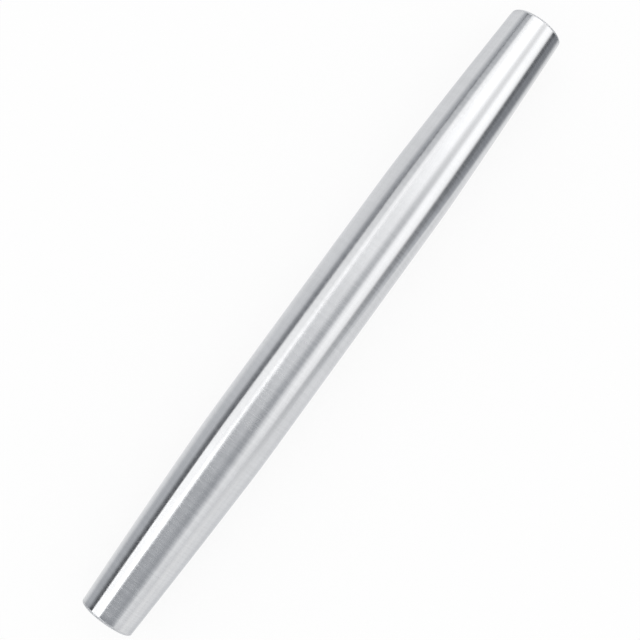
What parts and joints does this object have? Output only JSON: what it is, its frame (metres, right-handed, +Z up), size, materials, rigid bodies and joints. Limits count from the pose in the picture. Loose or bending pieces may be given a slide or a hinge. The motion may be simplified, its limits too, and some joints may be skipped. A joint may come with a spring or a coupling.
{
  "type": "french rolling pin",
  "caption": "Hollow steel French rolling pin with a straight middle, gently bowed tapers and a flat welded cap closing each end; it rolls dough and lies on its side.",
  "frame": {"origin": "centre of the pin, on its axis at mid-length", "axes": "+X along the pin's axis to the right-hand cap, +Z up as the pin lies on a table"},
  "size_m": [0.4, 0.04, 0.04],
  "materials": {
    "tube_steel": "brushed round the axis, satin, with short bright and dark hairlines",
    "cap_steel": "turned in fine rings, satin, with a rounded edge broken by hand to a softer sheen",
    "weld_steel": "dressed flush and brushed with the tube"
  },
  "bodies": {
    "root": {"tapered_tube": "tube_steel", "left_end_cap": "cap_steel", "right_end_cap": "cap_steel", "left_weld_ring": "weld_steel", "right_weld_ring": "weld_steel"}
  },
  "joints": []
}
